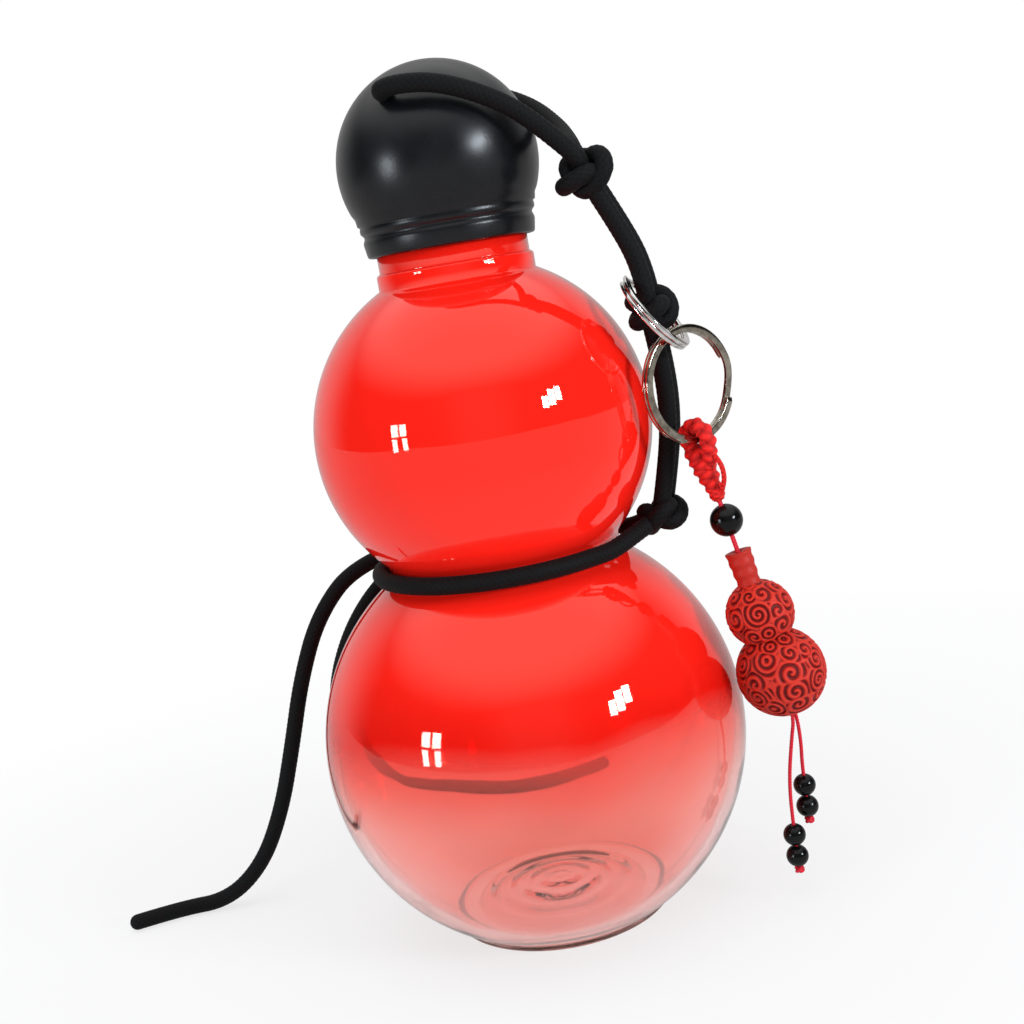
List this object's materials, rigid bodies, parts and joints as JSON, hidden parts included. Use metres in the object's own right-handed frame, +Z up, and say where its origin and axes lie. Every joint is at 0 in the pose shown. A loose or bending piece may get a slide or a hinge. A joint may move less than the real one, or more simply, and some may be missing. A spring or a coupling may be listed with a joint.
{
  "type": "gourd water bottle",
  "caption": "Gourd-shaped glass flask with a ball screw cap, a knotted cord tether, split rings and a carved gourd charm.",
  "frame": {"origin": "centre of the foot ring on the surface that the bottle stands on", "axes": "+Z up the bottle's axis to the cap; the pictured side faces -Y; +X to the picture's right"},
  "size_m": [0.2204, 0.1715, 0.245],
  "materials": {
    "red_glass": "glossy red coat that fades to clear pink towards the base",
    "cap_plastic": "satin black moulded plastic",
    "insert_plastic": "moulded black, threaded",
    "silicone": "translucent white silicone",
    "black_cord": "round braided cord",
    "ring_steel": "polished nickel-plated steel",
    "red_braid": "knotted braid of red thread",
    "black_bead": "polished black",
    "cinnabar": "carved cinnabar-red resin, matt",
    "red_thread": "thin waxed thread"
  },
  "bodies": {
    "bottle": {"flask_lower_bulb": "red_glass", "flask_upper_bulb": "red_glass", "flask_neck": "red_glass"},
    "harness": {"ring_knot": "black_cord", "tether_lower_near": "black_cord", "tether_lower_far": "black_cord", "waist_knot": "black_cord", "waist_cord_front": "black_cord", "waist_cord_back": "black_cord", "back_knot": "black_cord", "left_tail": "black_cord", "back_tail": "black_cord"},
    "tether_top": {"cap_knot": "black_cord", "tether_upper_near": "black_cord", "tether_upper_far": "black_cord"},
    "cap": {"cap_shell": "cap_plastic", "cap_insert": "insert_plastic", "cap_gasket": "silicone", "cap_cord": "black_cord"},
    "small_ring": {"small_ring": "ring_steel"},
    "key_ring": {"key_ring": "ring_steel"},
    "charm": {"charm_loop": "red_braid", "charm_bead": "black_bead", "charm_pendant": "cinnabar", "charm_thread_right": "red_thread", "charm_thread_left": "red_thread", "tassel_beads_right": "black_bead", "tassel_beads_left": "black_bead"}
  },
  "joints": [
    {"name": "cap_turn", "type": "hinge", "parent": "bottle", "child": "harness", "pos_m": [0, 0, 0.1075], "axis": [0, 0, 1], "range_deg": [0, 450]},
    {"name": "cap_rise", "type": "slide", "parent": "harness", "child": "tether_top", "axis": [0, 0, 1], "range_m": [0, 0.00527]},
    {"name": "cap_lift", "type": "slide", "parent": "tether_top", "child": "cap", "axis": [0, 0, 1], "range_m": [0, 0.018]},
    {"name": "small_ring_swing", "type": "hinge", "parent": "harness", "child": "small_ring", "pos_m": [0.0445, -0.01611, 0.17812], "axis": [-0.3404, -0.9403, 0], "range_deg": [0, 50]},
    {"name": "key_ring_swing", "type": "hinge", "parent": "small_ring", "child": "key_ring", "pos_m": [0.0563, -0.02038, 0.15908], "axis": [-0.3404, -0.9403, 0], "range_deg": [0, 60]},
    {"name": "charm_swing", "type": "hinge", "parent": "key_ring", "child": "charm", "pos_m": [0.0563, -0.02038, 0.13331], "axis": [-0.8192, -0.5736, 0], "range_deg": [0, 70]}
  ],
  "couplings": [
    {"joint": "cap_rise", "follows": "cap_turn", "m_per_rad": 0.00066845}
  ]
}
